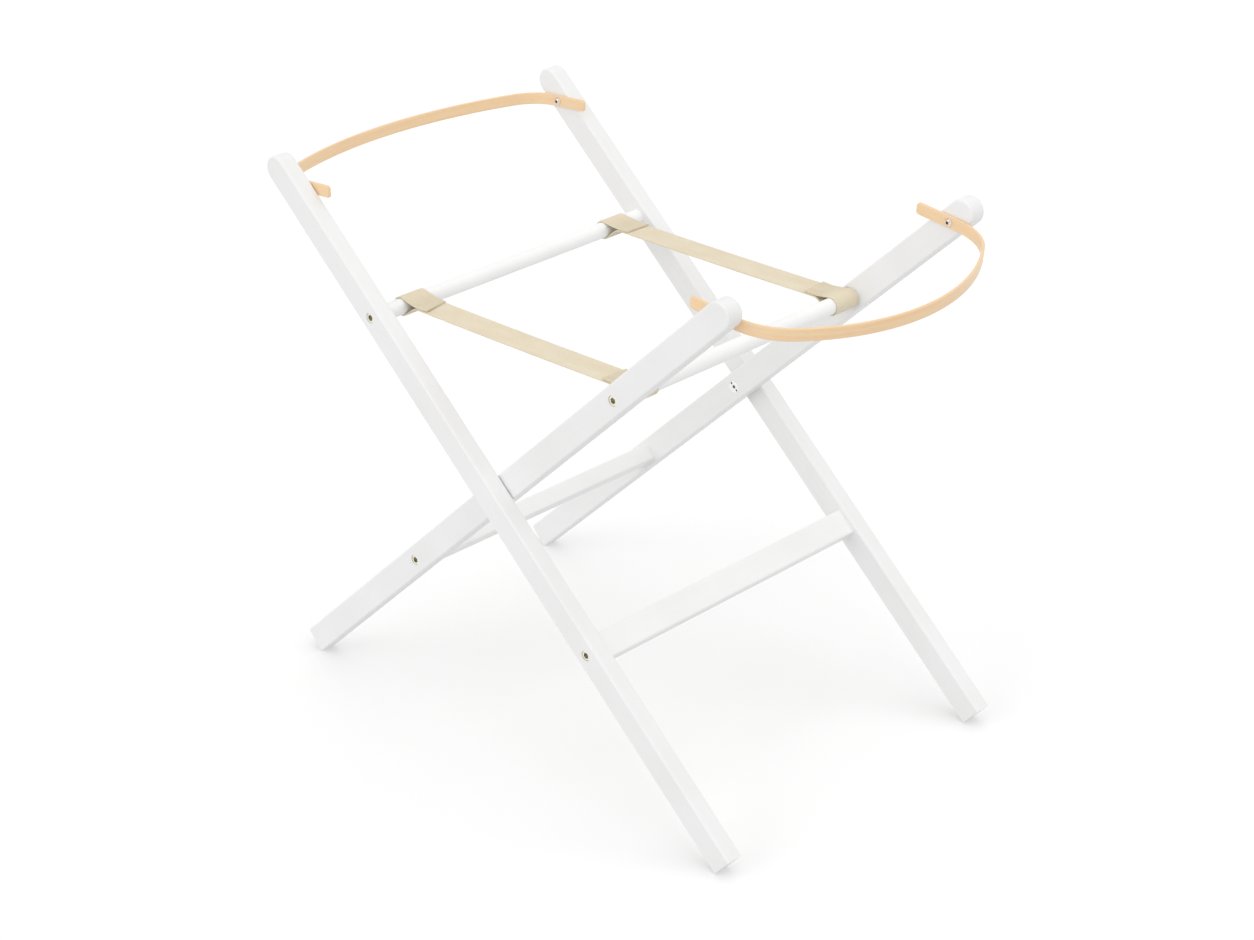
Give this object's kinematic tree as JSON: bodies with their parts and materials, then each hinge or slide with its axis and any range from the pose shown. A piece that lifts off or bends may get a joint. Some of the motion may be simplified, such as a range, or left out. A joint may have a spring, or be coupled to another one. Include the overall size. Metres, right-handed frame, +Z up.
{
  "type": "folding cradle stand",
  "caption": "Folding X-frame wooden stand for a baby basket, with webbing straps between the dowels and a bent wooden retaining bar at each end.",
  "frame": {"origin": "middle of the whole stand's box, on the floor it stands on", "axes": "+Z up, +X along the basket from the outer frame's bar to the inner frame's bar, +Y across the frames"},
  "size_m": [0.7116, 0.38, 0.5555],
  "materials": {
    "painted_wood": "white satin paint over solid wood",
    "bent_wood": "pale beech strip, satin clear lacquer",
    "webbing": "flat woven cotton webbing",
    "pivot_steel": "nickel-plated",
    "washer_nylon": "natural nylon",
    "screw_brass": "yellow passivated",
    "pin_beech": "plain fluted beech",
    "screw_steel": "bright zinc"
  },
  "bodies": {
    "outer_frame": {"outer_leg_near": "painted_wood", "outer_leg_far": "painted_wood", "outer_dowel": "painted_wood", "outer_rail": "painted_wood", "strap_near": "webbing", "strap_far": "webbing", "pivot_bolt_near": "pivot_steel", "pivot_bolt_far": "pivot_steel", "pivot_washer_near": "washer_nylon", "pivot_washer_far": "washer_nylon", "pivot_insert_near": "screw_brass", "pivot_insert_far": "screw_brass", "outer_dowel_screws": "screw_brass", "outer_rail_screws": "screw_brass", "outer_rail_pins": "pin_beech", "outer_bar_screws": "screw_steel"},
    "inner_frame": {"inner_leg_near": "painted_wood", "inner_leg_far": "painted_wood", "inner_dowel": "painted_wood", "inner_rail": "painted_wood", "inner_dowel_screws": "screw_brass", "inner_rail_screws": "screw_brass", "inner_rail_pins": "pin_beech", "inner_bar_screws": "screw_steel"},
    "outer_bar": {"outer_bar": "bent_wood"},
    "inner_bar": {"inner_bar": "bent_wood"}
  },
  "joints": [
    {"name": "fold", "type": "hinge", "parent": "outer_frame", "child": "inner_frame", "pos_m": [-0.01456, 0, 0.28492], "axis": [0, -1, 0], "range_deg": [0, 86], "deforming": ["strap_near", "strap_far"]},
    {"name": "outer_bar_swing", "type": "hinge", "parent": "outer_frame", "child": "outer_bar", "pos_m": [-0.27703, 0, 0.52543], "axis": [0, 1, 0], "range_deg": [-133, 46]},
    {"name": "inner_bar_swing", "type": "hinge", "parent": "inner_frame", "child": "inner_bar", "pos_m": [0.25528, 0, 0.53218], "axis": [0, -1, 0], "range_deg": [-130, 49]}
  ]
}
